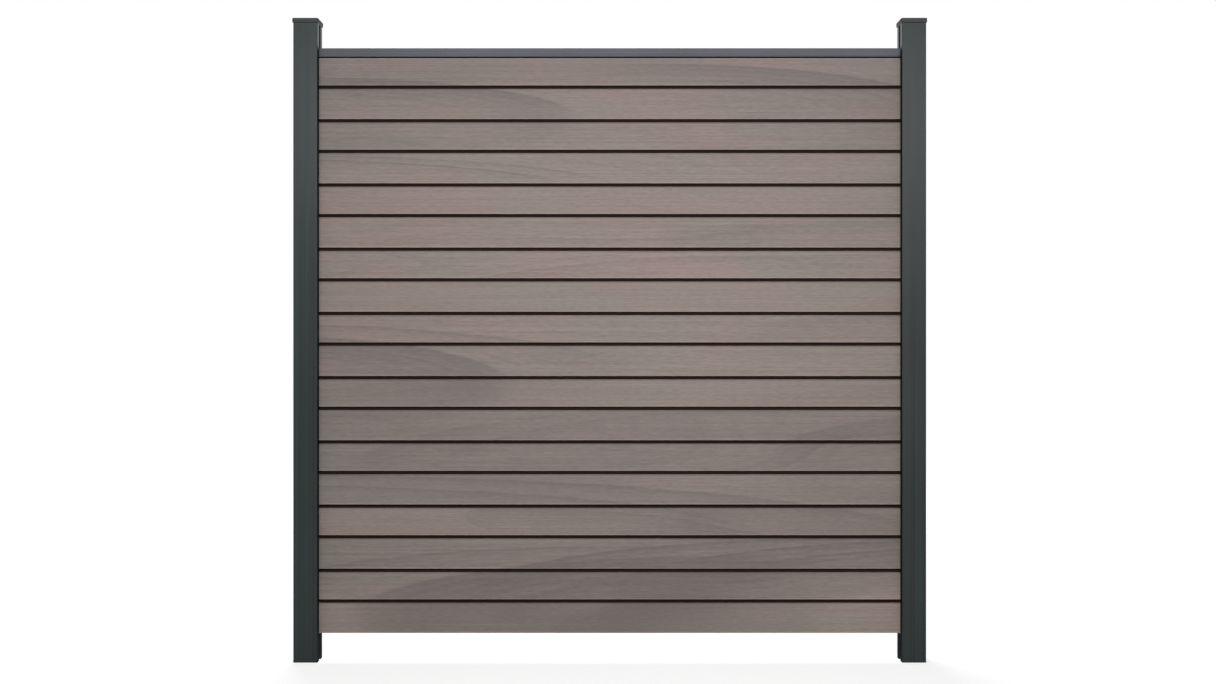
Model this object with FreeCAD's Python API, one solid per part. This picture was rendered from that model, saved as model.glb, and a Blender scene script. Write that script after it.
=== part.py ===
"""Plug-in fence: hollow composite boards plugged together between two slotted posts.

Millimetres, +Z up, the front looks along -Y. The ground is z = 0 and the panel's middle is x = 0.
"""

import FreeCAD
import Part

import math
import os

# Boards: a lower and an upper slat in one profile, with a shadow gap above each slat
BOARD_COUNT = 9
BOARD_LENGTH = 1800.0
BOARD_THICKNESS = 21.0
LOWER_SLAT_HEIGHT = 92.5
UPPER_SLAT_HEIGHT = 83.5
SHADOW_GAP_HEIGHT = 10.5
SHADOW_GAP_RISE = 3.5
SLAT_EDGE_RADIUS = 0.8
DRIP_EDGE_RADIUS = 0.5
DRIP_EDGE_WIDTH = 1.6

# Tongue on a board's top edge, which stands in the groove of the piece above
TONGUE_THICKNESS = 9.0
TONGUE_GRIP = 6.0
TONGUE_CLEARANCE = 0.4
TONGUE_EDGE_RADIUS = 1.0

# Hollow chambers inside each slat
CHAMBERS_PER_SLAT = 2
CHAMBER_SKIN = 4.5
CHAMBER_WEB = 4.5
CHAMBER_BEVEL = 2.0

# Top rail
RAIL_CLEARANCE = 1.5
RAIL_CHAMBER_HEIGHT = 7.4
RAIL_WALL = 1.8
RAIL_EDGE_RADIUS = 1.5

# Posts
POST_SIZE = 74.0
POST_WALL = 2.0
POST_CORNER_RADIUS = 3.0
POST_HEADROOM = 71.5
GROUND_GAP = 85.0
SLOT_DEPTH = 20.0
SLOT_CLEARANCE = 1.0
SLOT_EDGE_RADIUS = 0.7
BOARD_END_PLAY = 11.0
SCREW_PORT_RADIUS = 2.6
SCREW_PORT_WALL = 1.8

# Post caps
CAP_OVERHANG = 3.0
CAP_HEIGHT = 15.0
CAP_TOP = 3.0
CAP_CORNER_RADIUS = 6.0
CAP_EDGE_CHAMFER = 1.5
SPIGOT_LENGTH = 25.0
SPIGOT_WALL = 2.5
SPIGOT_CLEARANCE = 0.4
SPIGOT_LEAD = 1.2

# Board rests and their screws
REST_THICKNESS = 2.5
REST_SETBACK = 1.5
REST_LEG = 34.0
REST_BEND_RADIUS = 1.2
SCREWS_PER_REST = 2
SCREW_RADIUS = 2.1
SCREW_LENGTH = 9.5
SCREW_HEAD_RADIUS = 4.0
SCREW_HEAD_TOP_RADIUS = 2.8
SCREW_HEAD_HEIGHT = 2.6
SCREW_CLEARANCE = 0.1
SCREW_RECESS_RADIUS = 1.6
SCREW_RECESS_DEPTH = 1.4
RECESS_SIDES = 6

# How far a cutting tool runs past the face it cuts
OVERRUN = 5.0

# Sizes that follow from those above
HALF_BOARD = BOARD_THICKNESS / 2
HALF_TONGUE = TONGUE_THICKNESS / 2
HALF_GROOVE = HALF_TONGUE + TONGUE_CLEARANCE
HALF_DRIP = HALF_BOARD - DRIP_EDGE_WIDTH
UPPER_SLAT = LOWER_SLAT_HEIGHT + SHADOW_GAP_HEIGHT
SLAT_TOP = UPPER_SLAT + UPPER_SLAT_HEIGHT
BOARD_PITCH = SLAT_TOP + SHADOW_GAP_HEIGHT
GROOVE_CEILING = SHADOW_GAP_RISE + TONGUE_GRIP
STACK_TOP = GROUND_GAP + (BOARD_COUNT - 1) * BOARD_PITCH + SLAT_TOP
RAIL_BOTTOM = STACK_TOP + SHADOW_GAP_RISE + RAIL_CLEARANCE
RAIL_WEB = SHADOW_GAP_HEIGHT + TONGUE_GRIP - RAIL_CLEARANCE
RAIL_HEIGHT = RAIL_WEB + RAIL_CHAMBER_HEIGHT + 2 * RAIL_WALL
POST_LENGTH = RAIL_BOTTOM + RAIL_HEIGHT + POST_HEADROOM
HALF_POST = POST_SIZE / 2
HALF_SLOT = HALF_BOARD + SLOT_CLEARANCE
POST_X = BOARD_LENGTH / 2 + BOARD_END_PLAY - SLOT_DEPTH + HALF_POST
SLOT_FLOOR = HALF_POST - SLOT_DEPTH
CHAMBER_X = SLOT_FLOOR - POST_WALL
CHAMBER_Y = HALF_POST - POST_WALL
SIDES = {"left": -1, "right": 1}


def rounded_corner(previous, corner, following):
    """Where an outline's arc starts, has its middle and ends at one corner of (x, y, radius) corners."""
    point = FreeCAD.Vector(corner[0], corner[1], 0)
    before = FreeCAD.Vector(previous[0], previous[1], 0) - point
    after = FreeCAD.Vector(following[0], following[1], 0) - point
    before.normalize()
    after.normalize()
    inward = before + after
    inward.normalize()
    half_angle = before.getAngle(after) / 2
    radius = corner[2]
    reach = radius / math.tan(half_angle)
    middle = point + inward * (radius / math.sin(half_angle) - radius)
    return point + before * reach, middle, point + after * reach


def rounded_face(corners):
    """A flat face at z = 0 from (x, y, radius) corners. A radius of 0 leaves the corner sharp."""
    arcs = []
    for number, corner in enumerate(corners):
        following = corners[(number + 1) % len(corners)]
        arcs.append(rounded_corner(corners[number - 1], corner, following))
    edges = []
    for number, (start, middle, end) in enumerate(arcs):
        edges.append(Part.makeLine(arcs[number - 1][2], start))
        if corners[number][2] > 0:
            edges.append(Part.Arc(start, middle, end).toShape())
    return Part.Face(Part.Wire(edges))


def rectangle(half_x, low_y, high_y, radius):
    """A rectangular face about x = 0, with one radius at all its corners."""
    return rounded_face(both_halves([(half_x, low_y, radius), (half_x, high_y, radius)]))


def disc(radius, x, y):
    """A round face."""
    return Part.Face(Part.Wire(Part.makeCircle(radius, FreeCAD.Vector(x, y, 0))))


def both_halves(right_half):
    """A whole outline from its right half, listed from the bottom up."""
    return right_half + [(-x, y, radius) for x, y, radius in reversed(right_half)]


def upright(face, height, base):
    """A face raised along +Z from the level base."""
    solid = face.extrude(FreeCAD.Vector(0, 0, height))
    solid.translate(FreeCAD.Vector(0, 0, base))
    return solid


def lying(section, base):
    """A section, drawn as depth and height, run along X for a board's length from the level base."""
    solid = upright(section, BOARD_LENGTH, -BOARD_LENGTH / 2)
    solid.rotate(FreeCAD.Vector(0, 0, 0), FreeCAD.Vector(1, 1, 1), 120)
    solid.translate(FreeCAD.Vector(0, 0, base))
    return solid.Solids[0]


def save(shape, node):
    """Write one node's solid to its own file."""
    shape.exportStep("parts/" + node + ".step")


def board_outline():
    """A board's outside: groove and drip edge below, two slats, tongue above."""
    mouth_share = (HALF_DRIP - HALF_GROOVE) / (HALF_DRIP - HALF_TONGUE)
    return both_halves([
        (HALF_GROOVE, GROOVE_CEILING, 0),
        (HALF_GROOVE, SHADOW_GAP_RISE * mouth_share, 0),
        (HALF_DRIP, 0, 0),
        (HALF_BOARD, 0, DRIP_EDGE_RADIUS),
        (HALF_BOARD, LOWER_SLAT_HEIGHT, SLAT_EDGE_RADIUS),
        (HALF_TONGUE, LOWER_SLAT_HEIGHT + SHADOW_GAP_RISE, 0),
        (HALF_TONGUE, UPPER_SLAT + SHADOW_GAP_RISE, 0),
        (HALF_DRIP, UPPER_SLAT, 0),
        (HALF_BOARD, UPPER_SLAT, DRIP_EDGE_RADIUS),
        (HALF_BOARD, SLAT_TOP, SLAT_EDGE_RADIUS),
        (HALF_TONGUE, SLAT_TOP + SHADOW_GAP_RISE, 0),
        (HALF_TONGUE, BOARD_PITCH + GROOVE_CEILING, TONGUE_EDGE_RADIUS),
    ])


def chamber(low, high):
    """One hollow chamber between two heights, as a face with bevelled corners."""
    half = HALF_BOARD - CHAMBER_SKIN
    return rounded_face(both_halves([
        (half - CHAMBER_BEVEL, low, 0),
        (half, low + CHAMBER_BEVEL, 0),
        (half, high - CHAMBER_BEVEL, 0),
        (half - CHAMBER_BEVEL, high, 0),
    ]))


def slat_chambers(low, high):
    """The chambers of one slat, side by side between two heights."""
    height = (high - low - (CHAMBERS_PER_SLAT - 1) * CHAMBER_WEB) / CHAMBERS_PER_SLAT
    floors = [low + number * (height + CHAMBER_WEB) for number in range(CHAMBERS_PER_SLAT)]
    return [chamber(floor, floor + height) for floor in floors]


def board(number):
    """One board of the stack, counted from the bottom: its outline less the chambers of both slats."""
    lower = slat_chambers(GROOVE_CEILING + CHAMBER_SKIN, LOWER_SLAT_HEIGHT - CHAMBER_SKIN)
    upper = slat_chambers(UPPER_SLAT + SHADOW_GAP_RISE + CHAMBER_SKIN, SLAT_TOP - CHAMBER_SKIN)
    section = rounded_face(board_outline()).cut(lower + upper)
    return lying(section, GROUND_GAP + (number - 1) * BOARD_PITCH)


def top_rail():
    """The rail that closes the panel: a box above a channel whose lips hold the top board's tongue."""
    outline = both_halves([
        (HALF_GROOVE, RAIL_WALL, 0),
        (HALF_GROOVE, 0, 0),
        (HALF_BOARD, 0, DRIP_EDGE_RADIUS),
        (HALF_BOARD, RAIL_HEIGHT, RAIL_EDGE_RADIUS),
    ])
    half_room = HALF_BOARD - RAIL_WALL
    channel = rectangle(half_room, RAIL_WALL, RAIL_WEB, 0)
    box = rectangle(half_room, RAIL_WEB + RAIL_WALL, RAIL_HEIGHT - RAIL_WALL, 0)
    return lying(rounded_face(outline).cut([channel, box]), RAIL_BOTTOM)


def post_outline():
    """A post's outside: a square with a slot in its left and right face."""
    return both_halves([
        (HALF_POST, -HALF_POST, POST_CORNER_RADIUS),
        (HALF_POST, -HALF_SLOT, SLOT_EDGE_RADIUS),
        (SLOT_FLOOR, -HALF_SLOT, SLOT_EDGE_RADIUS),
        (SLOT_FLOOR, HALF_SLOT, SLOT_EDGE_RADIUS),
        (HALF_POST, HALF_SLOT, SLOT_EDGE_RADIUS),
        (HALF_POST, HALF_POST, POST_CORNER_RADIUS),
    ])


def post_hollow():
    """The post's inside, one wall within the outside."""
    pocket = HALF_SLOT + POST_WALL
    return both_halves([
        (CHAMBER_Y, -CHAMBER_Y, 0),
        (CHAMBER_Y, -pocket, 0),
        (CHAMBER_X, -pocket, 0),
        (CHAMBER_X, pocket, 0),
        (CHAMBER_Y, pocket, 0),
        (CHAMBER_Y, CHAMBER_Y, 0),
    ])


def post_section():
    """A post's section: walls, and a round screw port in each corner with its bore against both walls."""
    inset = CHAMBER_Y - SCREW_PORT_RADIUS
    centres = [(x * inset, y * inset) for x in SIDES.values() for y in SIDES.values()]
    bosses = [disc(SCREW_PORT_RADIUS + SCREW_PORT_WALL, x, y) for x, y in centres]
    bores = [disc(SCREW_PORT_RADIUS, x, y) for x, y in centres]
    walls = rounded_face(post_outline()).cut(rounded_face(post_hollow()).cut(bosses))
    return walls.cut(bores)


def rest_screw_levels():
    """The levels of one rest's screws, evenly spread over the free height of its leg."""
    foot = GROUND_GAP - REST_LEG
    step = (REST_LEG - REST_THICKNESS) / (SCREWS_PER_REST + 1)
    return [foot + (number + 1) * step for number in range(SCREWS_PER_REST)]


def rest_floor(side):
    """Where the floor of a post's inner slot is along X."""
    return side * (POST_X - SLOT_FLOOR)


def drilled(solid, side):
    """A solid with the holes of one rest's screws, drilled through both the rest and the slot's floor."""
    start_x = rest_floor(side) + side * (POST_WALL + OVERRUN)
    length = REST_THICKNESS + POST_WALL + 2 * OVERRUN
    inward = FreeCAD.Vector(-side, 0, 0)
    for level in rest_screw_levels():
        start = FreeCAD.Vector(start_x, 0, level)
        solid = solid.cut(Part.makeCylinder(SCREW_RADIUS + SCREW_CLEARANCE, length, start, inward))
    return solid.Solids[0]


def post(side):
    """One post, with the screw holes for its board rest."""
    solid = upright(post_section(), POST_LENGTH, 0)
    solid.translate(FreeCAD.Vector(side * POST_X, 0, 0))
    return drilled(solid, side)


def cap_spigot():
    """The cap's hollow spigot: the post's middle chamber less a clearance, bevelled at the lower end."""
    half_x = CHAMBER_X - SPIGOT_CLEARANCE
    half_y = CHAMBER_Y - SPIGOT_CLEARANCE
    low = POST_LENGTH - SPIGOT_LENGTH
    inside = CAP_HEIGHT - CAP_TOP
    plug = upright(rectangle(half_x, -half_y, half_y, 0), SPIGOT_LENGTH, low)
    plug = plug.makeChamfer(SPIGOT_LEAD, [e for e in plug.Edges if e.BoundBox.ZMax < POST_LENGTH])
    root = upright(rectangle(CHAMBER_X, -CHAMBER_Y, CHAMBER_Y, 0), inside, POST_LENGTH)
    room = rectangle(half_x - SPIGOT_WALL, SPIGOT_WALL - half_y, half_y - SPIGOT_WALL, 0)
    return plug.fuse(root).cut(upright(room, OVERRUN + SPIGOT_LENGTH + inside, low - OVERRUN))


def post_cap(side):
    """A cap that lies on the post's walls and closes its slots. It is hollow over the post's inside.

    Its overhang is bevelled below, down to the post's faces.
    """
    half = HALF_POST + CAP_OVERHANG
    block = upright(rectangle(half, -half, half, CAP_CORNER_RADIUS), CAP_HEIGHT, POST_LENGTH)
    block = block.makeChamfer(CAP_EDGE_CHAMFER, [e for e in block.Edges if e.BoundBox.ZMin > POST_LENGTH])
    foot = [e for e in block.Edges if e.BoundBox.ZMax < POST_LENGTH + CAP_OVERHANG]
    block = block.makeChamfer(CAP_OVERHANG, foot)
    room = upright(rounded_face(post_hollow()), OVERRUN + CAP_HEIGHT - CAP_TOP, POST_LENGTH - OVERRUN)
    shell = block.cut(room)
    cap = shell.fuse(cap_spigot()).removeSplitter()
    cap.translate(FreeCAD.Vector(side * POST_X, 0, 0))
    return cap.Solids[0]


def board_rest(side):
    """The angle that carries one end of the lowest board: a leg on the slot's floor and a shelf above it."""
    shelf = SLOT_DEPTH - REST_SETBACK
    section = rounded_face([
        (0, -REST_LEG, 0),
        (REST_THICKNESS, -REST_LEG, 0),
        (REST_THICKNESS, -REST_THICKNESS, REST_BEND_RADIUS),
        (shelf, -REST_THICKNESS, 0),
        (shelf, 0, 0),
        (0, 0, REST_BEND_RADIUS),
    ])
    angle = upright(section, BOARD_THICKNESS, -HALF_BOARD)
    angle.rotate(FreeCAD.Vector(0, 0, 0), FreeCAD.Vector(1, 0, 0), 90)
    if side > 0:
        angle.rotate(FreeCAD.Vector(0, 0, 0), FreeCAD.Vector(0, 0, 1), 180)
    angle.translate(FreeCAD.Vector(rest_floor(side), 0, GROUND_GAP))
    return drilled(angle, side)


def screw_head():
    """A tapered head standing on z = 0, with a recess in its top."""
    head = Part.makeCone(SCREW_HEAD_RADIUS, SCREW_HEAD_TOP_RADIUS, SCREW_HEAD_HEIGHT)
    corners = []
    for number in range(RECESS_SIDES):
        turn = math.tau * number / RECESS_SIDES
        corners.append((SCREW_RECESS_RADIUS * math.cos(turn), SCREW_RECESS_RADIUS * math.sin(turn), 0))
    recess_floor = SCREW_HEAD_HEIGHT - SCREW_RECESS_DEPTH
    return head.cut(upright(rounded_face(corners), SCREW_RECESS_DEPTH + OVERRUN, recess_floor))


def rest_screw(side, level):
    """One screw in its hole: the head lies on the rest, the shank goes through it and the slot's floor."""
    screw = upright(disc(SCREW_RADIUS, 0, 0), SCREW_LENGTH, -SCREW_LENGTH).fuse(screw_head())
    screw.rotate(FreeCAD.Vector(0, 0, 0), FreeCAD.Vector(0, 1, 0), -90 * side)
    screw.translate(FreeCAD.Vector(rest_floor(side) - side * REST_THICKNESS, 0, level))
    return screw.Solids[0]


def rest_screws():
    """All screws of both rests, as separate solids in one group."""
    screws = []
    for side in SIDES.values():
        screws += [rest_screw(side, level) for level in rest_screw_levels()]
    return Part.makeCompound(screws)


os.makedirs("parts", exist_ok=True)
for side_name, side in SIDES.items():
    save(post(side), side_name + "_post")
    save(post_cap(side), side_name + "_post_cap")
    save(board_rest(side), side_name + "_board_rest")
for number in range(1, BOARD_COUNT + 1):
    save(board(number), "board_" + str(number))
save(top_rail(), "top_rail")
save(rest_screws(), "rest_screws")
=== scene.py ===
"""Looks of the plug-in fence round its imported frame.

Finishes, brushed composite boards, a white studio and the photograph's camera. Metres, +Z up, the
front looks along -Y, the middle of the panel is x = 0 and the ground is z = 0.
"""

from __future__ import annotations

import logging
import math
import random
from dataclasses import dataclass
from enum import Enum

import bpy
import numpy as np
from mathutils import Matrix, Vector
from mathutils.geometry import tessellate_polygon


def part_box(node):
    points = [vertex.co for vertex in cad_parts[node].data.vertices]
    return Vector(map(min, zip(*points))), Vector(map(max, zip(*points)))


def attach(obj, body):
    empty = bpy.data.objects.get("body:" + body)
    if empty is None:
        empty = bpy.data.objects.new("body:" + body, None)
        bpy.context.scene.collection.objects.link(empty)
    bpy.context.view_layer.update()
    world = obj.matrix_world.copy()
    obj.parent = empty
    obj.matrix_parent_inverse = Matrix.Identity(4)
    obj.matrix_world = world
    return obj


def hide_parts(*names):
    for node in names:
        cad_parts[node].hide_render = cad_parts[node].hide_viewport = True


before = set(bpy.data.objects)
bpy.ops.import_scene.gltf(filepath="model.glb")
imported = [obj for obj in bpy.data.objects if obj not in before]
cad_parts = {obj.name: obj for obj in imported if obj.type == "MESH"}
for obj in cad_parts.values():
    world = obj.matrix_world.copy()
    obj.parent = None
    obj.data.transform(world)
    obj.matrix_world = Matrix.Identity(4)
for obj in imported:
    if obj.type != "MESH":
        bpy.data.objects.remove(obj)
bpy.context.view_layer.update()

log = logging.getLogger("fence")

Colour = tuple[float, float, float]
Point = tuple[float, float]
Place = tuple[float, float, float]


def shade_of(colour: Colour, share: float) -> Colour:
    """A colour made darker or lighter."""
    return tuple(share * part for part in colour)


class Wire:
    """An output of a material's nodes. Python's operators on wires and numbers add Math nodes."""

    def __init__(self, graph: Graph, source: bpy.types.Node, output: int | str) -> None:
        """Keep the node tree, the node that this wire leaves and which of its outputs it is."""
        self.graph = graph
        self.source = source
        self.output = output

    @property
    def socket(self) -> bpy.types.NodeSocket:
        """The output that this wire leaves from."""
        return self.source.outputs[self.output]

    def _math(self, operation: str, *values: Wire | float) -> Wire:
        """Add one Math node on these values."""
        return self.graph.node("ShaderNodeMath", {"operation": operation}, dict(enumerate(values)))

    def __add__(self, other: Wire | float) -> Wire:
        """Sum."""
        return self._math("ADD", self, other)

    __radd__ = __add__

    def __sub__(self, other: Wire | float) -> Wire:
        """Difference."""
        return self._math("SUBTRACT", self, other)

    def __rsub__(self, other: float) -> Wire:
        """Difference from a number."""
        return self._math("SUBTRACT", other, self)

    def __mul__(self, other: Wire | float) -> Wire:
        """Product."""
        return self._math("MULTIPLY", self, other)

    __rmul__ = __mul__

    def __pow__(self, other: float) -> Wire:
        """Power."""
        return self._math("POWER", self, other)

    def __mod__(self, other: float) -> Wire:
        """What is left over the last whole step, also below zero."""
        return self._math("FLOORED_MODULO", self, other)

    def __gt__(self, other: float) -> Wire:
        """One where this wire is above a number, zero elsewhere."""
        return self._math("GREATER_THAN", self, other)

    def steps(self) -> Wire:
        """The whole number below."""
        return self._math("FLOOR", self)

    def at_least(self, floor: float) -> Wire:
        """The larger of this wire and a number."""
        return self._math("MAXIMUM", self, floor)

    def eased(self, zero_at: float, one_at: float) -> Wire:
        """A smooth step that is 0 at one value of this wire and 1 at another.

        Args:
            zero_at: Where the step starts.
            one_at: Where the step ends. It may lie below zero_at.

        Returns:
            The eased wire, held between 0 and 1.
        """
        low, high = sorted((zero_at, one_at))
        ends = (0.0, 1.0) if zero_at < one_at else (1.0, 0.0)
        names = ("Value", "From Min", "From Max", "To Min", "To Max")
        sockets = dict(zip(names, (self, low, high, *ends)))
        return self.graph.node("ShaderNodeMapRange", {"interpolation_type": "SMOOTHSTEP"}, sockets)


class Graph:
    """The node tree of one material, or of the surround."""

    def __init__(self, owner: bpy.types.Material | bpy.types.World) -> None:
        """Empty the owner's node tree, ready for new nodes.

        Args:
            owner: The material or world that the nodes belong to.
        """
        owner.use_nodes = True
        self.owner = owner
        self.tree = owner.node_tree
        self.tree.nodes.clear()

    def node(self, kind: str, settings: dict, sockets: dict, output: int | str = 0) -> Wire:
        """Add a node.

        Args:
            kind: The node's type.
            settings: Its own settings, which are set first.
            sockets: Its inputs by name or number, each a wire, a number or a colour.
            output: Which of its outputs to hand back, by name or number.

        Returns:
            The wire of that output.
        """
        made = self.tree.nodes.new(kind)
        for key, value in settings.items():
            setattr(made, key, value)
        for key, value in sockets.items():
            if isinstance(value, Wire):
                self.tree.links.new(value.socket, made.inputs[key])
            else:
                made.inputs[key].default_value = value
        return Wire(self, made, output)

    def parts(self, vector: Wire) -> tuple[Wire, Wire, Wire]:
        """The X, Y and Z of a vector."""
        split = self.node("ShaderNodeSeparateXYZ", {}, {"Vector": vector})
        return tuple(Wire(self, split.source, axis) for axis in "XYZ")

    def place(self) -> tuple[Wire, Wire, Wire]:
        """The point on the piece at rest, in metres, as its three coordinates."""
        return self.parts(self.node("ShaderNodeTexCoord", {}, {}, output="Object"))

    def noise(self, x: Wire, y: Wire, z: Wire | float, detail: float = 2.0) -> Wire:
        """Smooth noise from 0 to 1. A unit of the coordinates is about one lump."""
        point = self.node("ShaderNodeCombineXYZ", {}, {"X": x, "Y": y, "Z": z})
        sockets = {"Vector": point, "Scale": 1.0, "Detail": detail}
        return self.node("ShaderNodeTexNoise", {}, sockets)

    def mix(
        self, factor: Wire | float, first: Wire | Colour, second: Wire | Colour,
        held: bool = True, blend: str = "MIX",
    ) -> Wire:
        """A colour between two, or another blend of them.

        Args:
            factor: 0 for the first colour, 1 for the second.
            first: A colour or a wire of colours.
            second: A colour or a wire of colours.
            held: Whether the colour stops at the two when the factor goes beyond 0 and 1.
            blend: How the Mix node blends them.

        Returns:
            The mixed colour.
        """
        ends = [c if isinstance(c, Wire) else (*c, 1.0) for c in (first, second)]
        settings = {"data_type": "RGBA", "clamp_factor": held, "blend_type": blend}
        sockets = {"Factor": factor, "A": ends[0], "B": ends[1]}
        return self.node("ShaderNodeMix", settings, sockets, output="Result")

    def bump(self, height: Wire, depth: float) -> Wire:
        """A normal that follows a map of heights from 0 to 1, with this depth in metres."""
        sockets = {"Strength": 1.0, "Distance": depth, "Height": height}
        return self.node("ShaderNodeBump", {}, sockets)

    def coat(self, **sockets: Wire | float) -> Wire:
        """Add a Principled shader. Underscores stand for the spaces in its inputs' names."""
        inputs = {key.replace("_", " "): value for key, value in sockets.items()}
        return self.node("ShaderNodeBsdfPrincipled", {}, inputs)

    def surface(self, shader: Wire) -> bpy.types.Material:
        """Close the material with what its surface shows."""
        self.node("ShaderNodeOutputMaterial", {}, {"Surface": shader})
        return self.owner


@dataclass(frozen=True)
class PowderCoat:
    """Matt powder paint on an extrusion: a fine sandy texture over faint draw lines.

    Attributes:
        name: The finish's name.
        colour: Its mean colour.
        roughness: How matt it is.
        gloss: Strength of the paint's own reflection.
        grain: Size of a grain of the sandy texture.
        depth: Height of a grain.
        drawn_up: Whether the draw lines run up (posts) or along (rail).
        line_scale: Draw lines per metre, and their waves per metre along.
        cloud_scale: Clouds per metre across and up.
        contrast: The textures' values where the paint is darkest and lightest.
        tones: The darkest and the lightest paint, as shares of the colour.
        unevenness: How much clouds and draw lines change the roughness.
        dull_and_shaded_sides: How dull the sides towards the panel are, where the powder lies thin,
            and how dark with painted shade.
        side_shade_top: Height up to which they are.
        side_shade_fade: Half the height over which that ends.
        side_shade_tones: The darkest and the lightest paint on these sides, darker than the rest as
            painted shade.
        dull_side_finish: Roughness and gloss of the thin powder.
        inner_side: Place along X times the normal's X, from none to all of an inner side.
    """

    name: str
    colour: Colour
    roughness: float
    gloss: float
    grain: float = 0.0012
    depth: float = 0.00005
    drawn_up: bool = True
    line_scale: Point = (170.0, 0.6)
    cloud_scale: Point = (3.1, 2.3)
    contrast: Point = (0.32, 0.68)
    tones: Point = (0.60, 1.40)
    unevenness: Point = (0.12, 0.24)
    dull_and_shaded_sides: float = 0.0
    side_shade_top: float = 2.0
    side_shade_fade: float = 0.01
    side_shade_tones: Point = (0.30, 0.90)
    dull_side_finish: Point = (0.85, 0.05)
    inner_side: Point = (-0.55, -0.85)

    def material(self) -> bpy.types.Material:
        """Build the finish's material."""
        graph = Graph(bpy.data.materials.new(self.name))
        x, y, z = graph.place()
        across, waves = self.line_scale
        by_x, by_z = (across, waves) if self.drawn_up else (waves, across)
        wide, high = self.cloud_scale
        sand = graph.noise(*(axis * (1 / self.grain) for axis in (x, y, z)), detail=3.0)
        lines = graph.noise(x * by_x, y * across, z * by_z, detail=3.0)
        cloud = graph.noise(x * wide, y * wide, z * high)
        tone = (0.25 * sand + 0.50 * lines + 0.25 * cloud).eased(*self.contrast)
        texture = graph.bump(0.8 * sand + 0.2 * lines, self.depth)
        by_cloud, by_line = self.unevenness
        coat = graph.coat(
            Base_Color=graph.mix(tone, *(shade_of(self.colour, share) for share in self.tones)),
            Roughness=self.roughness + by_cloud * (cloud - 0.5) + by_line * (lines - 0.5),
            Specular_IOR_Level=self.gloss,
            Normal=texture,
        )
        if self.dull_and_shaded_sides == 0.0:
            return graph.surface(coat)
        # The sides that face the panel, below a given height, get a darker colour as painted shade,
        # and a duller finish.
        flat = graph.coat(
            Base_Color=graph.mix(tone, *(shade_of(self.colour, share) for share in self.side_shade_tones)),
            Roughness=self.dull_side_finish[0],
            Specular_IOR_Level=self.dull_side_finish[1],
            Normal=texture,
        )
        facing = graph.parts(graph.node("ShaderNodeNewGeometry", {}, {}, output="Normal"))
        inner = (x * facing[0]).eased(*self.inner_side)
        low_enough = z.eased(self.side_shade_top + self.side_shade_fade, self.side_shade_top - self.side_shade_fade)
        shaders = {0: self.dull_and_shaded_sides * inner * low_enough, 1: coat, 2: flat}
        return graph.surface(graph.node("ShaderNodeMixShader", {}, shaders))


@dataclass(frozen=True)
class BareMetal:
    """Uncoated metal of the small hardware, rolled or drawn along one way.

    Attributes:
        name: The finish's name.
        colour: Its reflection colour.
        roughness: How dull it is.
        scratch_scale: Scratches per metre across them, and along.
        cloud_scale: Clouds per metre.
        contrast: The clouds' values where the metal is dullest and brightest.
        dulled: The dullest metal, as a share of the colour.
        unevenness: How much scratches and clouds change the roughness.
        depth: Depth of a scratch.
    """

    name: str
    colour: Colour
    roughness: float = 0.36
    scratch_scale: Point = (900.0, 40.0)
    cloud_scale: float = 90.0
    contrast: Point = (0.3, 0.7)
    dulled: float = 0.72
    unevenness: Point = (0.25, 0.15)
    depth: float = 0.00005

    def material(self) -> bpy.types.Material:
        """Build the finish's material."""
        graph = Graph(bpy.data.materials.new(self.name))
        x, y, z = graph.place()
        across, along = self.scratch_scale
        scratches = graph.noise(x * across, y * along, z * across, detail=3.0)
        cloud = graph.noise(*(axis * self.cloud_scale for axis in (x, y, z)))
        bright = cloud.eased(*self.contrast)
        by_scratch, by_cloud = self.unevenness
        return graph.surface(graph.coat(
            Base_Color=graph.mix(bright, shade_of(self.colour, self.dulled), self.colour),
            Metallic=1.0,
            Roughness=self.roughness + by_scratch * (scratches - 0.5) + by_cloud * (cloud - 0.5),
            Normal=graph.bump(scratches, self.depth),
        ))


class End(Enum):
    """The end of a streak that shows, as the way along X that it points."""

    LEFT = -1.0
    RIGHT = 1.0


@dataclass(frozen=True)
class TideMark:
    """A darker or paler patch, part of an ellipse: crisp above, feathered at its tip.

    Attributes:
        centre: The ellipse's middle, as x and z on the panel.
        radii: Its half width and half height.
        strength: How dark the edge is, below 0 for a paler patch.
        end: Which end of the ellipse shows, the left or the right one.
        fade: How quickly the patch fades inwards from its edge.
        edge: How wide the edge is, as a share of the half height.
        lines: How many thin contour lines follow the edge inside the patch.
        contours: How thin these lines are, and how dark as a share of the strength.
        tint: How dark the patch is besides them.
        crisp_above: Rise over the middle, in half heights, over which the edge turns crisp.
        feather: Distance from the middle, 1 at the edge, over which a feathered edge comes in.
        end_shown: Half widths towards the shown end over which the patch comes in.
        foot_shown: Rise over which it comes in from below.
    """

    centre: Point
    radii: Point
    strength: float
    end: End
    fade: float = 1.6
    edge: float = 0.05
    lines: float = 7.0
    contours: Point = (3.0, 0.35)
    tint: float = 0.85
    crisp_above: Point = (0.10, 0.60)
    feather: Point = (1.10, 0.60)
    end_shown: Point = (-0.35, 0.25)
    foot_shown: Point = (-0.90, 0.10)

    def shade(self, along: Wire, up: Wire) -> Wire:
        """How dark the patch makes each point.

        Args:
            along: The point's place along the panel.
            up: Its height.

        Returns:
            A wire from 0 to the patch's strength.
        """
        across = (along - self.centre[0]) * (1 / self.radii[0])
        rise = (up - self.centre[1]) * (1 / self.radii[1])
        reach = across * across + rise * rise
        upper = rise.eased(*self.crisp_above)
        feathered = reach.eased(*self.feather)
        crisp = reach.eased(1.0 + self.edge, 1.0 - self.edge)
        inside = feathered + upper * (crisp - feathered)
        shown = (self.end.value * across).eased(*self.end_shown) * rise.eased(*self.foot_shown)
        thinness, share = self.contours
        contours = ((reach * self.lines) % 1.0) ** thinness * upper
        dark = self.tint * reach ** self.fade + share * contours
        return inside * dark * shown * self.strength


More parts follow.
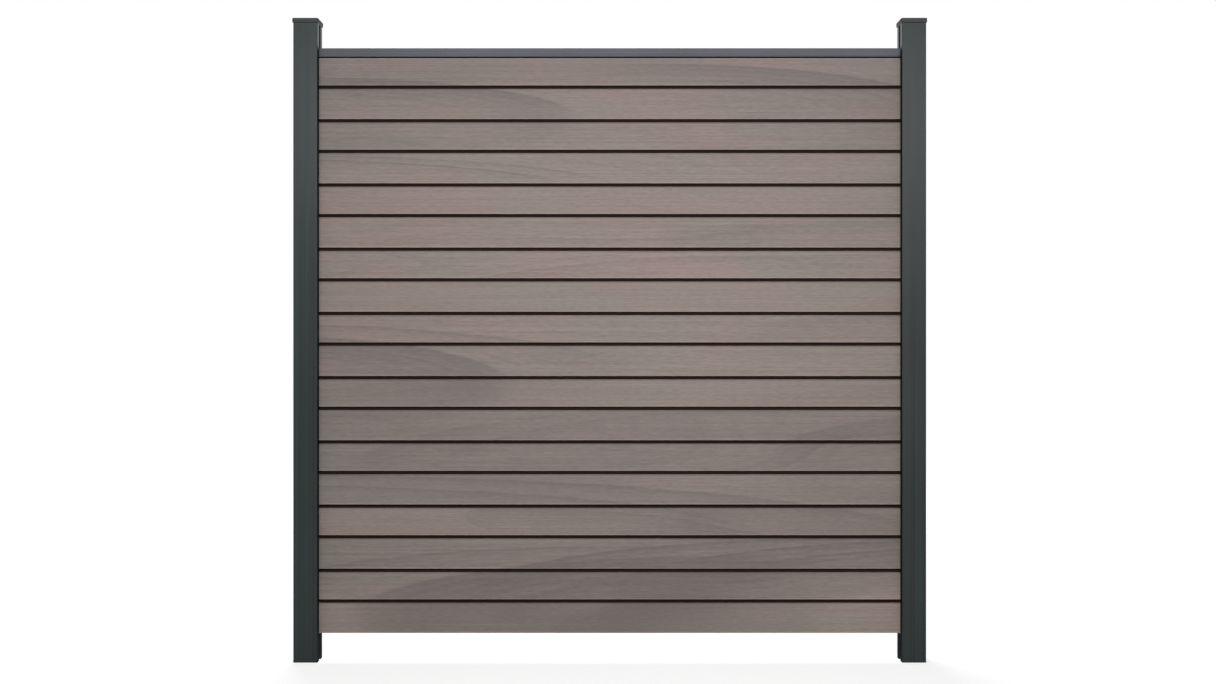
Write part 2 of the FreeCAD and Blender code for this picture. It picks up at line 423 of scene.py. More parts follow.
@dataclass(frozen=True)
class FaintStreaks:
    """Small streaks along the contour lines of a noise, in some places of the panel.

    Attributes:
        hills: Hills per metre along and up, their slice of the noise and its start along.
        places: The same for the places that have streaks.
        shown: The places' noise where there are no streaks, and full ones.
        wide: Wide lines per hill, how sharp they are and how dark.
        thin: The same for thin lines.
    """

    hills: tuple[float, ...] = (0.55, 3.4, 3.7, 0.0)
    places: tuple[float, ...] = (1.1, 5.2, 1.9, 8.3)
    shown: Point = (0.42, 0.66)
    wide: Place = (8.0, 2.0, 0.26)
    thin: Place = (34.0, 3.0, 0.24)

    def shade(self, graph: Graph, along: Wire, up: Wire) -> Wire:
        """How dark the small streaks make each point.

        Args:
            graph: The material's nodes.
            along: The point's place along the panel.
            up: Its height.

        Returns:
            A wire from 0 to the darkest lines' strength.
        """
        hills, where = (
            graph.noise(along * by_x + start, up * by_z, level, detail=1.0)
            for by_x, by_z, level, start in (self.hills, self.places)
        )
        wide, thin = (
            strength * ((hills * count) % 1.0) ** power
            for count, power, strength in (self.wide, self.thin)
        )
        return (wide + thin) * where.eased(*self.shown)


@dataclass(frozen=True)
class SlatNoise:
    """A noise over the panel that is another one on each slat.

    Attributes:
        by_x: Lumps per metre along the panel.
        by_z: Lumps per metre of height.
        start: Where the noise starts along the panel.
        detail: How many finer layers it has.
        step: How far apart two slats lie in it.
        first: Where the lowest slat lies in it.
    """

    by_x: float
    by_z: float
    start: float = 0.0
    detail: float = 2.0
    step: float = 3.7
    first: float = 0.0

    def lay(self, graph: Graph, along: Wire, slat: Wire, up: Wire) -> Wire:
        """Lay the noise over the panel, by a point's place along, its slat's number and height."""
        layer = slat * self.step + self.first
        return graph.noise(along * self.by_x + self.start, layer, up * self.by_z, self.detail)


@dataclass(frozen=True)
class StreakedComposite:
    """Wood-plastic composite, run in two tones and brushed along its length.

    Attributes:
        name: The finish's name.
        taupe: The main tone.
        rosy: A warmer tone that comes in wide zones.
        olive: A cooler tone that comes in other zones.
        ash: The darker tone of the streaks.
        marks: The large streaks, listed one by one.
        batch: Number that the slats' own tones are drawn from.
        base: Height of the lowest slat's lower edge.
        crown: Height of the topmost slat's upper edge, which gets a painted highlight under the
            rail.
        profile: The boards' section.
        faint: The small streaks.
        back_shift: How far the pattern on the back is moved along.
        edge: How far from a slat's edges the painted highlight and shade reach.
        lower_edge_highlight: How much lighter the lower edges are, a painted highlight.
        upper_edge_shade: How much darker the upper edges are, painted shade where the slat above
            shades the gap.
        fine: Noise of the finest lines.
        fibre: Noise of the short fibres.
        brushed: Noise of the brush lines.
        bands: Noise of wide bands.
        warm: Noise of the rosy zones.
        cool: Noise of the olive zones.
        warm_range: That noise's values for no rosy and full rosy.
        cool_range: The same for olive.
        rosy_heights: Heights over which rosy comes in.
        own_share: How far a slat's own tone may lie towards the ash tone.
        ragged: How far the brush lines and the finest lines move the streaks' edges.
        contrast: How much the grain shows in the tone.
        roughness: How matt the faces are.
        unevenness: How much the grain and the streaks change the roughness.
        gloss: Strength of their own reflection.
        depth: Depth of the finest lines.
    """

    name: str
    taupe: Colour
    rosy: Colour
    olive: Colour
    ash: Colour
    marks: tuple[TideMark, ...]
    batch: int
    base: float
    crown: float
    profile: BoardProfile
    faint: FaintStreaks = FaintStreaks()
    back_shift: float = 0.37
    edge: float = 0.007
    lower_edge_highlight: float = 0.22
    upper_edge_shade: float = 0.34
    fine: SlatNoise = SlatNoise(3.6, 780.0, detail=5.0)
    fibre: SlatNoise = SlatNoise(40.0, 320.0, start=1.3, detail=4.0)
    brushed: SlatNoise = SlatNoise(1.7, 230.0, start=5.1, detail=3.0)
    bands: SlatNoise = SlatNoise(0.8, 60.0, start=2.4)
    warm: SlatNoise = SlatNoise(2.6, 7.0, start=4.4, detail=1.0, step=0.35)
    cool: SlatNoise = SlatNoise(2.2, 6.0, start=9.4, detail=1.0, step=0.35, first=6.1)
    warm_range: Point = (0.44, 0.70)
    cool_range: Point = (0.46, 0.72)
    rosy_heights: Point = (0.50, 1.10)
    own_share: float = 0.45
    ragged: Point = (0.006, 0.005)
    contrast: float = 1.35
    roughness: float = 0.60
    unevenness: Point = (0.30, 0.06)
    gloss: float = 0.25
    depth: float = 0.00025

    def slat(self, up: Wire) -> Wire:
        """The number of the slat at a height, counted from the ground up."""
        boards = (up - self.base) * (1 / self.profile.pitch)
        return 2.0 * boards.steps() + ((boards % 1.0) > self.profile.second / self.profile.pitch)

    def edge_light_and_shade(self, up: Wire) -> Wire:
        """Painted light on the slats' edges: a painted highlight on the lower ones, painted shade
        on the upper ones.

        Args:
            up: The point's height.

        Returns:
            A factor on the colour, 1 away from the edges.
        """
        section = self.profile
        margin = section.gap / 2
        height = (up - (self.base - margin)) % section.pitch
        in_upper = height > section.second
        above = height - margin - section.second * in_upper
        below = section.lower + (section.upper - section.lower) * in_upper - above
        # Painted highlight on the topmost slat's upper edge under the rail, painted shade on every
        # other upper edge, and a painted highlight on the lower edges.
        lit_under_rail = (self.crown - up).eased(self.edge, 0.0)
        shaded_top = below.eased(self.edge, 0.0) * (1.0 - lit_under_rail)
        return 1.0 + self.lower_edge_highlight * (above.eased(self.edge, 0.0) + lit_under_rail) - self.upper_edge_shade * shaded_top

    def streaks(self, graph: Graph, along: Wire, up: Wire) -> Wire:
        """How dark the streaks are: 0 to about 1, and below 0 in paler patches."""
        marks = (mark.shade(along, up) for mark in self.marks)
        return sum(marks, start=self.faint.shade(graph, along, up))

    def material(self) -> bpy.types.Material:
        """Build the finish's material."""
        graph = Graph(bpy.data.materials.new(self.name))
        x, y, up = graph.place()
        along = x + (y > 0.0) * (self.back_shift - 2.0 * x)
        slat = self.slat(up)
        layers = (self.fine, self.fibre, self.brushed, self.bands, self.warm, self.cool)
        laid = (layer.lay(graph, along, slat, up) for layer in layers)
        fine, fibre, brushed, bands, warm, cool = laid
        ragged = up + self.ragged[0] * (brushed - 0.5) + self.ragged[1] * (fine - 0.5)
        streak = self.streaks(graph, along, ragged)
        rosy = warm.eased(*self.warm_range) * up.eased(*self.rosy_heights)
        ground = graph.mix(rosy, self.taupe, self.rosy)
        ground = graph.mix(cool.eased(*self.cool_range), ground, self.olive)
        one_number = {"noise_dimensions": "1D"}
        own = graph.node("ShaderNodeTexWhiteNoise", one_number, {"W": slat + self.batch})
        left = 1.0 - streak * (0.25 + 0.8 * brushed + 0.7 * fine)
        left = ((1.0 - self.own_share * own) * left).at_least(0.0)
        streaked = graph.mix(left, self.ash, ground, held=False)
        grain = 0.22 * fine + 0.40 * fibre + 0.28 * brushed + 0.10 * bands
        # The grain, times the painted highlights and shade along the slats' edges.
        tone = (1.0 + self.contrast * (grain - 0.5)) * self.edge_light_and_shade(up)
        grey = graph.node("ShaderNodeCombineColor", {}, {"Red": tone, "Green": tone, "Blue": tone})
        by_grain, by_streak = self.unevenness
        return graph.surface(graph.coat(
            Base_Color=graph.mix(1.0, streaked, grey, blend="MULTIPLY"),
            Roughness=self.roughness + by_grain * (grain - 0.5) + by_streak * streak,
            Specular_IOR_Level=self.gloss,
            Normal=graph.bump(0.4 * fine + 0.2 * fibre + 0.4 * brushed, self.depth),
        ))


@dataclass(frozen=True)
class CoreAndGapShadeComposite:
    """Unbrushed composite on the ends, in the chambers and in the gaps, as dull as it leaves the
    die; its dark colour is painted shade in the shadow gaps.

    Attributes:
        name: The finish's name.
        colour: Its dark colour, painted shade where it shows in the shadow gaps.
        drag_scale: Drag lines per metre along the board and across it.
        dark: The darkest drag lines, as a share of the colour.
        roughness: How dull the darkest lines are.
        unevenness: How much duller the others are.
        gloss: Strength of its own reflection.
        depth: Depth of the drag lines.
    """

    name: str
    colour: Colour
    drag_scale: Point = (6.0, 700.0)
    dark: float = 0.6
    roughness: float = 0.80
    unevenness: float = 0.20
    gloss: float = 0.08
    depth: float = 0.0001

    def material(self) -> bpy.types.Material:
        """Build the finish's material."""
        graph = Graph(bpy.data.materials.new(self.name))
        x, y, z = graph.place()
        along, across = self.drag_scale
        drag = graph.noise(x * along, y * across, z * across)
        return graph.surface(graph.coat(
            Base_Color=graph.mix(drag, shade_of(self.colour, self.dark), self.colour),
            Roughness=self.roughness + self.unevenness * drag,
            Specular_IOR_Level=self.gloss,
            Normal=graph.bump(drag, self.depth),
        ))


@dataclass(frozen=True)
class BoardProfile:
    """A double-slat board's section, drawn as depth and height above its lower edge.

    Attributes:
        half: Half the board's thickness.
        lower: Height of the lower slat's face.
        upper: Height of the upper slat's face.
        gap: Height of the shadow gap above each slat.
        rise: How far a gap climbs from the face inwards.
        half_tongue: Half the tongue's thickness.
        half_groove: Half the groove's width.
        grip: How deep the tongue stands in the groove.
        drip: Width of the flat foot of a drip edge.
        drip_radius: Rounding of a drip edge.
        slat_radius: Rounding of a slat's upper edge.
        tongue_radius: Rounding of the tongue.
        skin: Wall round the hollow chambers.
        bevel: Bevel of the chambers' corners.
        chambers: Chambers in each slat.
    """

    half: float
    lower: float
    upper: float
    gap: float = 0.0105
    rise: float = 0.0035
    half_tongue: float = 0.0045
    half_groove: float = 0.0049
    grip: float = 0.006
    drip: float = 0.0016
    drip_radius: float = 0.0005
    slat_radius: float = 0.0008
    tongue_radius: float = 0.001
    skin: float = 0.0045
    bevel: float = 0.002
    chambers: int = 2

    @property
    def second(self) -> float:
        """Height of the upper slat's lower edge."""
        return self.lower + self.gap

    @property
    def top(self) -> float:
        """Height of the upper slat's upper edge."""
        return self.second + self.upper

    @property
    def pitch(self) -> float:
        """Height from one board to the next."""
        return self.top + self.gap

    @property
    def ceiling(self) -> float:
        """Height of the groove's ceiling."""
        return self.rise + self.grip

    def right_side(self) -> list[Place]:
        """One side's corners from the groove to the tongue, as depth, height and rounding."""
        foot = self.half - self.drip
        mouth_share = (foot - self.half_groove) / (foot - self.half_tongue)
        return [
            (self.half_groove, self.ceiling, 0.0),
            (self.half_groove, self.rise * mouth_share, 0.0),
            (foot, 0.0, 0.0),
            (self.half, 0.0, self.drip_radius),
            (self.half, self.lower, self.slat_radius),
            (self.half_tongue, self.lower + self.rise, 0.0),
            (self.half_tongue, self.second + self.rise, 0.0),
            (foot, self.second, 0.0),
            (self.half, self.second, self.drip_radius),
            (self.half, self.top, self.slat_radius),
            (self.half_tongue, self.top + self.rise, 0.0),
            (self.half_tongue, self.top + self.gap + self.ceiling, self.tongue_radius),
        ]

    def chamber_loops(self) -> list[list[Point]]:
        """The outlines of the hollow chambers of both slats."""
        spans = [
            (self.ceiling + self.skin, self.lower - self.skin),
            (self.second + self.rise + self.skin, self.top - self.skin),
        ]
        loops = []
        for low, high in spans:
            tall = (high - low - (self.chambers - 1) * self.skin) / self.chambers
            for number in range(self.chambers):
                floor = low + number * (tall + self.skin)
                loops.append(self.chamber(floor, floor + tall))
        return loops

    def chamber(self, low: float, high: float) -> list[Point]:
        """One chamber's outline.

        Args:
            low: Its floor.
            high: Its ceiling.

        Returns:
            Its corners, all the way round.
        """
        wide = self.half - self.skin
        near = wide - self.bevel
        right = [(near, low), (wide, low + self.bevel), (wide, high - self.bevel), (near, high)]
        return right + [(-depth, height) for depth, height in reversed(right)]


@dataclass(frozen=True)
class Brushing:
    """The brush lines of a board's faces, as shallow grooves that come and go along the board.

    Attributes:
        widths: Widths of the narrowest and the widest groove.
        deepest: Depth of the deepest groove.
        lengths: Shortest and longest length over which a groove's depth swells and fades.
        shallow: Depth that parts the ridges from the valleys, as a share of the deepest.
        steady: Mean depth along a groove, as a share of its deepest place.
    """

    widths: Point = (0.0016, 0.0052)
    deepest: float = 0.00016
    lengths: Point = (0.35, 1.10)
    shallow: float = 0.25
    steady: float = 0.62

    def swell(self, x: float, length: float, start: float) -> float:
        """The share of its depth that a groove has at x, from its wave's length and start."""
        return self.steady + (1.0 - self.steady) * math.sin(math.tau * x / length + start)

    def heights(self, low: float, high: float, dice: random.Random) -> list[float]:
        """Where the ridges and valleys lie on a face.

        Args:
            low: The face's lower end.
            high: Its upper end.
            dice: The board's own random numbers.

        Returns:
            Heights between the two ends, from the bottom up.
        """
        found = []
        height = low
        while height < high:
            height += dice.uniform(*self.widths) / 2
            found.append(height)
        share = (high - low) / (found[-1] - low)
        return [low + (h - low) * share for h in found[:-1]]


class MeshBuilder:
    """Collects corners and faces, and turns them into an object."""

    def __init__(self) -> None:
        """Start empty."""
        self.corners: list[Place] = []
        self.faces: list[tuple[int, ...]] = []

    def tube(self, rings: list[list[Vector]], inward: bool) -> tuple[list[int], list[int]]:
        """Join rings of corners one after another.

        Args:
            rings: The rings along X, each with as many corners as the others.
            inward: Whether the tube is a hollow whose faces look in.

        Returns:
            The numbers of the first and the last ring's corners.
        """
        numbers = []
        for ring in rings:
            start = len(self.corners)
            self.corners += [tuple(corner) for corner in ring]
            numbers.append(list(range(start, len(self.corners))))
        for near, far in zip(numbers, numbers[1:]):
            for a, b, c, d in zip(near, near[1:] + near[:1], far[1:] + far[:1], far):
                self.faces.append((d, c, b, a) if inward else (a, b, c, d))
        return numbers[0], numbers[-1]

    def cap(self, loops: list[list[int]], facing: float) -> None:
        """Close an end whose first loop is the outline and whose others are holes.

        Args:
            loops: The numbers of each loop's corners.
            facing: The way along X that the end looks, 1 or -1.
        """
        flat = [[Vector((*self.corners[n][1:], 0.0)) for n in loop] for loop in loops]
        numbers = [n for loop in loops for n in loop]
        places = [p for loop in flat for p in loop]
        for triangle in tessellate_polygon(flat):
            a, b, c = (places[n] for n in triangle)
            turn = (b - a).cross(c - a).z
            face = tuple(numbers[n] for n in triangle)
            self.faces.append(face if turn * facing > 0 else tuple(reversed(face)))

    def object(self, name: str, crease: float) -> bpy.types.Object:
        """Make the object.

        Args:
            name: Its name.
            crease: The angle from which an edge stays sharp.

        Returns:
            The object, linked into the scene.
        """
        mesh = bpy.data.meshes.new(name)
        mesh.from_pydata(self.corners, [], self.faces)
        mesh.polygons.foreach_set("use_smooth", [True] * len(mesh.polygons))
        mesh.set_sharp_from_angle(angle=crease)
        mesh.update()
        made = bpy.data.objects.new(name, mesh)
        bpy.context.scene.collection.objects.link(made)
        return made


@dataclass(frozen=True)
class BrushedBoard:
    """One board with brushed faces, in the place of its plain solid.

    Attributes:
        node: The solid that the board stands for.
        body: The body that it rides on.
        profile: Its section.
        brushing: Its brush lines.
        seed: Start of its random numbers.
        stations: Rings of corners along its length.
        arc_steps: Straight steps in a rounded edge.
        crease: Angle from which an edge stays sharp.
        touch: How near to the face's depth a point counts as on the face.
    """

    node: str
    body: str
    profile: BoardProfile
    brushing: Brushing
    seed: int
    stations: int = 31
    arc_steps: int = 3
    crease: float = math.radians(28.0)
    touch: float = 1e-7

    def rounded(self, corners: list[Place]) -> list[Point]:
        """An open outline with its corners rounded.

        Args:
            corners: Depth, height and rounding of each corner.

        Returns:
            The outline's points.
        """
        points: list[Point] = [corners[0][:2]]
        for before, corner, after in zip(corners, corners[1:], corners[2:]):
            here = Vector(corner[:2])
            back = (Vector(before[:2]) - here).normalized()
            on = (Vector(after[:2]) - here).normalized()
            points += self.arc(here, back, on, corner[2])
        tip = corners[-1]
        down, inward = Vector((0.0, -1.0)), Vector((-1.0, 0.0))
        return points + self.arc(Vector(tip[:2]), down, inward, tip[2])

    def arc(self, corner: Vector, back: Vector, on: Vector, radius: float) -> list[Point]:
        """The points that round one corner.

        Args:
            corner: The sharp corner.
            back: The way back along the outline.
            on: The way on along it.
            radius: The rounding, 0 for none.

        Returns:
            The points, one for a sharp corner.
        """
        if radius == 0.0:
            return [tuple(corner)]
        half_angle = back.angle(on) / 2
        start = corner + back * (radius / math.tan(half_angle))
        end = corner + on * (radius / math.tan(half_angle))
        middle = corner + (back + on).normalized() * (radius / math.sin(half_angle))
        points = []
        for step in range(self.arc_steps + 1):
            spoke = (start - middle).lerp(end - middle, step / self.arc_steps).normalized()
            points.append(tuple(middle + spoke * radius))
        return points

    def brushed_side(self, dice: random.Random) -> list[Place]:
        """One side's outline with its brush lines.

        Args:
            dice: The board's own random numbers.

        Returns:
            Depth and height of each point, and how deep a groove it may take.
        """
        outline = self.rounded(self.profile.right_side())
        brushing = self.brushing
        face = self.profile.half
        side = []
        for here, following in zip(outline, outline[1:] + outline[-1:]):
            side.append((*here, 0.0))
            on_face = math.isclose(min(here[0], following[0]), face, abs_tol=self.touch)
            if not on_face or following[1] - here[1] <= brushing.widths[1]:
                continue
            for number, height in enumerate(brushing.heights(here[1], following[1], dice)):
                valley = number % 2 == 0
                limits = (brushing.shallow, 1.0) if valley else (0.0, brushing.shallow)
                side.append((face, height, dice.uniform(*limits) * brushing.deepest))
        return side

    def build(self) -> bpy.types.Object:
        """Build the board and put it in its solid's place."""
        dice = random.Random(self.seed)
        low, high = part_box(self.node)
        right = self.brushed_side(dice)
        left = self.brushed_side(dice)
        points = right + [(-y, z, -depth) for y, z, depth in reversed(left)]
        lengths = [dice.uniform(*self.brushing.lengths) for _ in points]
        waves = [(length, dice.uniform(0.0, math.tau)) for length in lengths]
        rings = []
        for x in np.linspace(low.x, high.x, self.stations):
            ring = []
            for (y, z, depth), (length, start) in zip(points, waves):
                groove = depth * self.brushing.swell(x, length, start)
                ring.append(Vector((x, y - groove, low.z + z)))
            rings.append(ring)
        builder = MeshBuilder()
        outer = builder.tube(rings, inward=False)
        hollows = []
        for loop in self.profile.chamber_loops():
            ends = [[Vector((x, y, low.z + z)) for y, z in loop] for x in (low.x, high.x)]
            hollows.append(builder.tube(ends, inward=True))
        builder.cap([outer[0]] + [h[0] for h in hollows], -1.0)
        builder.cap([outer[1]] + [h[1] for h in hollows], 1.0)
        board = builder.object(f"{self.node}_brushed", self.crease)
        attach(board, self.body)
        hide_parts(self.node)
        return board


@dataclass(frozen=True)
class BoardStack:
    """All boards between the posts.

    Attributes:
        finish: The finish of the brushed faces.
        core_and_gap_shade: The finish of everything behind them, dark as painted shade in the
            shadow gaps.
        count: How many boards there are.
        rim: How far round a face's edges the brushed finish reaches, as a depth.
        end_facing: How far along X a polygon looks that belongs to a cut end.
    """

    finish: StreakedComposite
    core_and_gap_shade: CoreAndGapShadeComposite
    count: int
    rim: float = 0.0005
    end_facing: float = 0.5

    def dress(self, board: bpy.types.Object) -> None:
        """Give a board's faces their finish, and all that lies behind them the dark one, which is
        painted shade in the shadow gaps.

        Args:
            board: A board with both finishes in its slots.
        """
        face = self.finish.profile.half - self.rim
        for polygon in board.data.polygons:
            on_side = abs(polygon.normal.x) < self.end_facing
            polygon.material_index = 0 if on_side and abs(polygon.center.y) > face else 1

    def build(self) -> None:
        """Build and dress every board, from the bottom up."""
        finishes = (self.finish.material(), self.core_and_gap_shade.material())
        for number in range(1, self.count + 1):
            name = f"board_{number}"
            board = BrushedBoard(name, name, self.finish.profile, Brushing(), seed=number).build()
            for finish in finishes:
                board.data.materials.append(finish)
            self.dress(board)
            log.info("%s: %d faces", board.name, len(board.data.polygons))


@dataclass(frozen=True)
class Hardware:
    """Solids whose shape is right as it is and that only take a finish.

    Attributes:
        nodes: Their names.
        finish: The finish they share.
    """

    nodes: tuple[str, ...]
    finish: PowderCoat | BareMetal

    def dress(self) -> None:
        """Give every solid the finish."""
        material = self.finish.material()
        for name in self.nodes:
            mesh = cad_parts[name].data
            mesh.materials.clear()
            mesh.materials.append(material)
            log.info("%s: %s", name, self.finish.name)


class LampRole(Enum):
    """What a studio lamp is for."""

    KEY = "key"
    FILL = "fill"
    BACK = "back"


@dataclass(frozen=True)
class Lamp:
    """A soft rectangular studio lamp.

    Attributes:
        role: What it is for.
        place: Where it hangs.
        target: Where it points.
        size: Its width and height.
        power: Its power in watts.
        spread: The angle that its light fans out over.
    """

    role: LampRole
    place: Place
    target: Place
    size: Point
    power: float
    spread: float = math.pi

    def build(self) -> bpy.types.Object:
        """Hang the lamp."""
        data = bpy.data.lights.new(f"{self.role.value}_lamp", "AREA")
        data.shape = "RECTANGLE"
        data.size, data.size_y = self.size
        data.energy = self.power
        data.spread = self.spread
        lamp = bpy.data.objects.new(data.name, data)
        lamp.location = self.place
        aim = Vector(self.target) - Vector(self.place)
        lamp.rotation_euler = aim.to_track_quat("-Z", "Y").to_euler()
        bpy.context.scene.collection.objects.link(lamp)
        return lamp


@dataclass(frozen=True)
class Studio:
    """A white room: a pale floor that keeps shadows, an even surround and soft lamps.

    Attributes:
        floor_size: Side of the floor.
        floor_colour: Grey level of the floor.
        glow: White that only the camera and reflections see on the floor, near by and far off.
        glow_reach: Distances between which the near glow turns into the far one.
        surround: Brightness of the surround as a light.
        lamps: The lamps.
    """

    floor_size: float
    floor_colour: float
    glow: Point
    glow_reach: Point
    surround: float
    lamps: tuple[Lamp, ...]

    def floor_material(self) -> bpy.types.Material:
        """A matt floor with a glow that only the camera and reflections see."""
        graph = Graph(bpy.data.materials.new("pale_floor"))
        grey = (*shade_of((1.0, 1.0, 1.0), self.floor_colour), 1.0)
        matt = graph.node("ShaderNodeBsdfDiffuse", {}, {"Color": grey})
        x, y, _ = graph.place()
        near, far = self.glow
        share = ((x * x + y * y) ** 0.5).eased(*self.glow_reach)
        strength = self.seen(graph) * (near + (far - near) * share)
        glow = graph.node("ShaderNodeEmission", {}, {"Strength": strength})
        return graph.surface(graph.node("ShaderNodeAddShader", {}, {0: matt, 1: glow}))

    @staticmethod
    def seen(graph: Graph) -> Wire:
        """One on rays from the camera and in reflections, zero on those that light the object."""
        rays = ("Is Camera Ray", "Is Glossy Ray", "Is Transmission Ray")
        return sum(graph.node("ShaderNodeLightPath", {}, {}, output=ray) for ray in rays) > 0.5

    def build(self) -> None:
        """Lay the floor, light the surround and hang the lamps."""
        half = self.floor_size / 2
        outline = ((-half, -half), (half, -half), (half, half), (-half, half))
        builder = MeshBuilder()
        builder.corners = [(x, y, 0.0) for x, y in outline]
        builder.faces = [tuple(range(len(outline)))]
        floor = builder.object("floor", math.pi)
        floor.data.materials.append(self.floor_material())
        self.light_surround()
        for lamp in self.lamps:
            log.info("%s", lamp.build().name)

    def light_surround(self) -> None:
        """White for the camera and in reflections, dimmer as a light."""
        graph = Graph(bpy.data.worlds.new("surround"))
        bpy.context.scene.world = graph.owner
        strength = self.surround + self.seen(graph) * (1.0 - self.surround)
        white = {"Color": (1.0, 1.0, 1.0, 1.0), "Strength": strength}
        glow = graph.node("ShaderNodeBackground", {}, white)
        graph.node("ShaderNodeOutputWorld", {}, {"Surface": glow})


@dataclass(frozen=True)
class PhotoCamera:
    """The photograph's view: straight on, from about half the fence's height.

    Attributes:
        side: How far along X the camera stands from the panel's middle.
        distance: How far it stands in front of the posts' front faces.
        height: How high it stands.
        view_width: Width of the view at the posts' front faces.
        sensor: Width of the sensor in millimetres.
    """

    side: float
    distance: float
    height: float
    view_width: float
    sensor: float = 36.0

    def build(self, front: float) -> None:
        """Set up the camera.

        Args:
            front: How far in front of the middle the posts' front faces are.
        """
        data = bpy.data.cameras.new("photo_camera")
        data.sensor_width = self.sensor
        data.lens = self.sensor * self.distance / self.view_width
        camera = bpy.data.objects.new("photo_camera", data)
        camera.location = (self.side, -self.distance - front, self.height)
        camera.rotation_euler = (math.pi / 2, 0.0, 0.0)
        bpy.context.scene.collection.objects.link(camera)
        bpy.context.scene.camera = camera


# The posts' sides towards the panel carry painted shade up to about the rail's top.
ANTHRACITE = PowderCoat(
    "anthracite_powder_coat", (0.0120, 0.0178, 0.0176),
    roughness=0.37, gloss=0.29, dull_and_shaded_sides=1.0, side_shade_top=1.876,
)
# The caps' sides towards the panel carry painted shade as well.
CAP_MATT = PowderCoat(
    "anthracite_cap_plastic", (0.018, 0.021, 0.022),
    roughness=0.46, gloss=0.34, grain=0.0016, dull_and_shaded_sides=0.60,
)
RAIL_GREY = PowderCoat(
    "grey_rail_coat", (0.080, 0.087, 0.105), roughness=0.48, gloss=0.25, drawn_up=False,
)
MILL_ALUMINIUM = BareMetal("mill_aluminium", (0.62, 0.63, 0.64))
ZINC_STEEL = BareMetal("zinc_plated_steel", (0.56, 0.56, 0.55), roughness=0.30)
# Dark core colour: where it shows in the shadow gaps between the slats, it is painted shade.
CORE_AND_GAP_SHADE = CoreAndGapShadeComposite("core_and_gap_shade_composite", (0.026, 0.014, 0.011))

HARDWARE = (
    Hardware(("left_post", "right_post"), ANTHRACITE),
    Hardware(("left_post_cap", "right_post_cap"), CAP_MATT),
    Hardware(("top_rail",), RAIL_GREY),
    Hardware(("left_board_rest", "right_board_rest"), MILL_ALUMINIUM),
    Hardware(("rest_screws",), ZINC_STEEL),
)

LOWER_SLAT = 0.0925

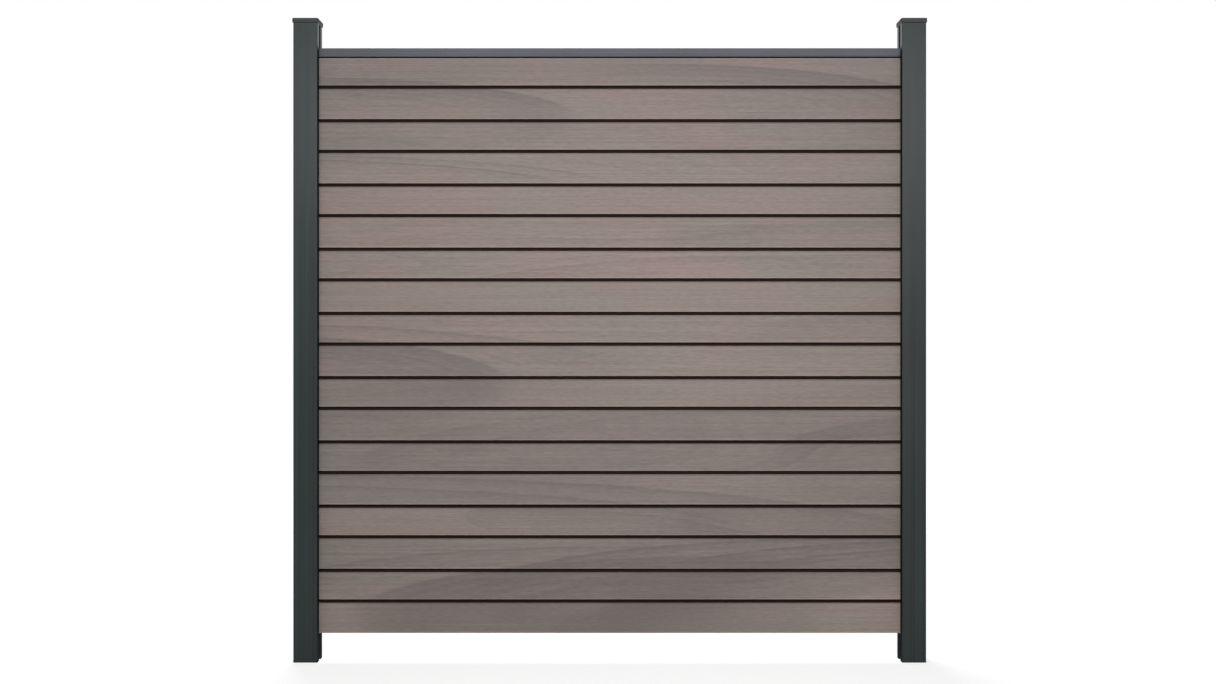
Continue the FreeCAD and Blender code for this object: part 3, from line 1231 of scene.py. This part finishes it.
# Centre, radii, strength, end, fade, edge and lines of each mark
STREAKS = tuple(TideMark(*values) for values in (
    # Streaks from the top slats down
    ((-0.95, 1.65), (0.87, 0.14), 1.05, End.RIGHT),
    ((0.15, 1.64), (0.98, 0.19), 1.0, End.RIGHT, 1.6, 0.03),
    ((-1.2, 1.44), (1.1, 0.1), 0.8, End.RIGHT, 12.0, 0.03),
    ((-1.08, 1.45), (1.1, 0.1), 0.8, End.RIGHT, 12.0, 0.03),
    ((1.2, 1.295), (1.1, 0.06), 0.5, End.LEFT, 0.6, 0.2),
    ((1.25, 1.0), (0.9, 0.07), 0.45, End.LEFT, 0.8, 0.2),
    ((-1.5, 0.905), (1.5, 0.138), 1.0, End.RIGHT, 9.0, 0.03, 0.0),
    ((-1.05, 0.83), (0.76, 0.165), 0.95, End.RIGHT, 0.6),
    ((1.15, 0.6), (0.68, 0.16), 0.65, End.LEFT, 1.0),
    ((-0.35, 0.61), (0.45, 0.07), 0.4, End.LEFT, 0.5, 0.2),
    ((0.5, 0.55), (1.35, 0.235), 0.5, End.LEFT, 8.0, 0.03, 0.0),
    ((0.5, 0.53), (1.1, 0.24), 0.5, End.LEFT, 9.0, 0.03, 0.0),
    ((-1.5, 0.4), (1.9, 0.145), 0.9, End.RIGHT, 9.0, 0.03, 0.0),
    ((-1.3, 0.36), (2.3, 0.215), 1.0, End.RIGHT, 9.0, 0.03, 0.0),
    ((0.42, 0.42), (0.22, 0.07), 0.4, End.LEFT, 0.4, 0.3),
    ((0.75, 0.195), (1.2, 0.18), 1.0, End.LEFT, 6.0, 0.03),
    ((1.2, 0.205), (1.2, 0.17), 1.0, End.LEFT, 6.0, 0.03),
    ((1.3, 0.2), (1.1, 0.152), 0.7, End.LEFT, 8.0, 0.03),
    ((0.0, 0.19), (1.1, 0.16), 0.8, End.LEFT, 8.0, 0.03),
    ((0.345, 0.125), (1.15, 0.195), 0.95, End.LEFT, 0.6),
    ((0.6, 0.08), (1.0, 0.22), 0.35, End.LEFT, 0.6, 0.05, 0.0),
    ((0.5, 0.09), (0.55, 0.22), 0.35, End.LEFT, 0.6, 0.05, 0.0),
    ((0.35, 0.06), (0.55, 0.14), 0.5, End.LEFT, 0.3, 0.25),
    # Soft patches, paler ones below 0
    ((1.2, 0.085), (0.62, 0.16), -0.75, End.LEFT, 0.3, 0.3, 0.0),
    ((-1.06, 0.085), (0.32, 0.15), -0.45, End.RIGHT, 0.3, 0.3, 0.0),
    ((-1.05, 0.405), (0.95, 0.075), -0.32, End.RIGHT, 0.0, 0.3, 0.0),
    ((1.15, 0.405), (1.1, 0.075), 0.22, End.LEFT, 0.0, 0.3, 0.0),
    ((0.1, 0.52), (0.62, 0.15), 0.22, End.LEFT, 0.0, 0.3, 0.0),
    ((0.05, 0.85), (0.55, 0.13), 0.2, End.LEFT, 0.0, 0.3, 0.0),
))

STUDIO = Studio(
    floor_size=24.0,
    floor_colour=0.45,
    glow=(0.68, 0.94),
    glow_reach=(1.6, 5.0),
    surround=0.24,
    lamps=(
        Lamp(LampRole.KEY, (0.05, -2.2, 2.04), (0.05, 0.0, 1.1), (3.2, 0.8), power=41.0),
        Lamp(
            LampRole.FILL, (0.25, -5.6, 1.3), (0.25, 0.0, 0.62), (1.0, 0.8),
            power=5.6, spread=math.radians(50.0),
        ),
        Lamp(LampRole.BACK, (-0.6, 2.4, 4.2), (0.0, 0.0, 1.0), (2.8, 1.6), power=150.0),
    ),
)
CAMERA = PhotoCamera(side=-0.0052, distance=4.26, height=0.9773, view_width=3.7058)


def board_count() -> int:
    """How many boards the frame has."""
    return sum(name.startswith("board_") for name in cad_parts)


def board_profile() -> BoardProfile:
    """The boards' section, with its outer sizes taken from the frame."""
    low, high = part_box("board_1")
    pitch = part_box("board_2")[0].z - low.z
    upper = pitch - LOWER_SLAT - 2 * BoardProfile.gap
    return BoardProfile(half=high.y, lower=LOWER_SLAT, upper=upper)


def board_composite() -> StreakedComposite:
    """The finish of the boards' faces, with the slats' heights taken from the frame."""
    profile = board_profile()
    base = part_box("board_1")[0].z
    return StreakedComposite(
        "streaked_composite",
        taupe=(0.280, 0.227, 0.203),
        rosy=(0.294, 0.221, 0.199),
        olive=(0.259, 0.227, 0.199),
        ash=(0.184, 0.159, 0.149),
        marks=STREAKS,
        batch=6946577,
        base=base,
        crown=base + board_count() * profile.pitch - profile.gap,
        profile=profile,
    )


def main() -> None:
    """Build and dress every piece, then the studio and the camera."""
    logging.basicConfig(level=logging.INFO, format="%(message)s")
    BoardStack(board_composite(), CORE_AND_GAP_SHADE, board_count()).build()
    for hardware in HARDWARE:
        hardware.dress()
    STUDIO.build()
    CAMERA.build(front=-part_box("left_post")[0].y)
    bpy.context.scene.view_settings.view_transform = "Standard"


if __name__ == "__main__":
    main()
